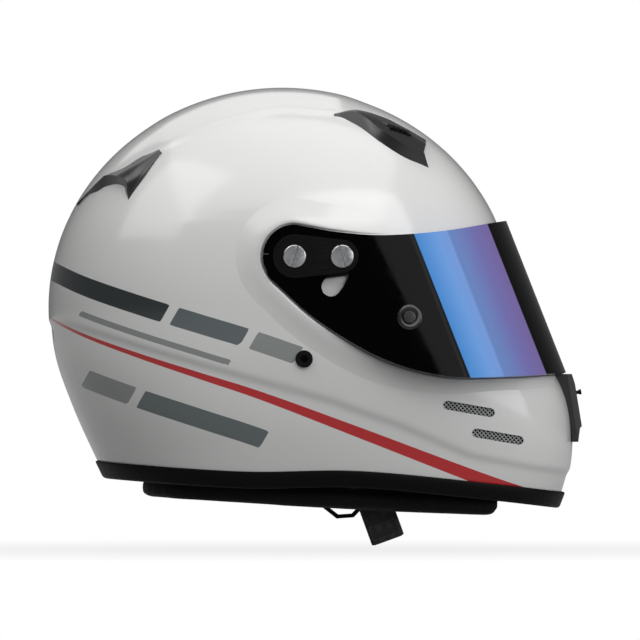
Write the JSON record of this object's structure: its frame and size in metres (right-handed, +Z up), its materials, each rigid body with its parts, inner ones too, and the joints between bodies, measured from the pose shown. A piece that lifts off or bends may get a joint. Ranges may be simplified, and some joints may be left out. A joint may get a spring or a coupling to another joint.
{
  "type": "auto racing helmet",
  "caption": "Full-face car racing helmet with a hinged smoke visor on side pivots, chin and crown vents, restraint anchors, foam lining, neck roll and a chin strap with rings.",
  "frame": {"origin": "middle of the wearer's head, in the middle plane of the helmet", "axes": "+X forwards, the way the wearer looks; +Y to the wearer's left; +Z up"},
  "size_m": [0.3466, 0.259, 0.2956],
  "materials": {
    "shell_lacquer": "gloss",
    "vent_lacquer": "gloss",
    "edge_rubber": "satin",
    "visor_tint": "mirror-coated",
    "black_plastic": "satin",
    "screw_metal": "turned",
    "insert_metal": "plain",
    "anchor_metal": "anodised",
    "post_plastic": "gloss",
    "plate_steel": "plain",
    "ring_steel": "black satin",
    "foam": "matt foam",
    "lining_cloth": "knitted cloth",
    "roll_cloth": "leather-look cloth",
    "webbing": "woven"
  },
  "bodies": {
    "shell": {"outer_shell": "shell_lacquer", "base_trim": "edge_rubber", "eyeport_seal": "edge_rubber", "visor_base_plates": "black_plastic", "ratchet_rings": "black_plastic", "link_plates": "black_plastic", "pivot_screws": "screw_metal", "guide_screws": "screw_metal", "screw_inserts": "insert_metal", "restraint_anchors": "anchor_metal", "side_vent_meshes": "black_plastic", "chin_vent_housing": "vent_lacquer", "chin_vent_grille": "black_plastic", "forehead_vents": "vent_lacquer", "rear_vents": "vent_lacquer", "crown_liner": "foam", "comfort_pad": "lining_cloth", "chin_liner": "foam", "cheek_pad_right": "lining_cloth", "cheek_pad_left": "lining_cloth", "neck_roll": "roll_cloth", "strap_anchors": "plate_steel", "chin_strap_right": "webbing", "chin_strap_left": "webbing"},
    "visor": {"visor": "visor_tint", "tear_off_posts": "post_plastic"},
    "chin_shutter": {"chin_vent_shutter": "black_plastic"},
    "slider_right": {"forehead_slider_right": "black_plastic"},
    "slider_left": {"forehead_slider_left": "black_plastic"},
    "ring_inner": {"d_ring_inner": "ring_steel"},
    "ring_outer": {"d_ring_outer": "ring_steel"}
  },
  "joints": [
    {"name": "visor_hinge", "type": "hinge", "parent": "shell", "child": "visor", "pos_m": [-0.0033, 0, 0.0345], "axis": [0, -1, 0], "range_deg": [0, 40]},
    {"name": "chin_shutter_slide", "type": "slide", "parent": "shell", "child": "chin_shutter", "axis": [0.1599, 0, -0.9871], "range_m": [0, 0.0065]},
    {"name": "slider_right_slide", "type": "slide", "parent": "shell", "child": "slider_right", "axis": [-0.8872, -0.341, 0.3107], "range_m": [0, 0.007]},
    {"name": "slider_left_slide", "type": "slide", "parent": "shell", "child": "slider_left", "axis": [-0.8872, 0.341, 0.3107], "range_m": [0, 0.007]},
    {"name": "ring_inner_hinge", "type": "hinge", "parent": "shell", "child": "ring_inner", "pos_m": [0.02839, 0.05655, -0.12085], "axis": [-0.9976, 0, -0.0698], "range_deg": [0, 25]},
    {"name": "ring_outer_hinge", "type": "hinge", "parent": "shell", "child": "ring_outer", "pos_m": [0.02839, 0.05945, -0.12085], "axis": [0.9976, 0, 0.0698], "range_deg": [0, 25]}
  ]
}
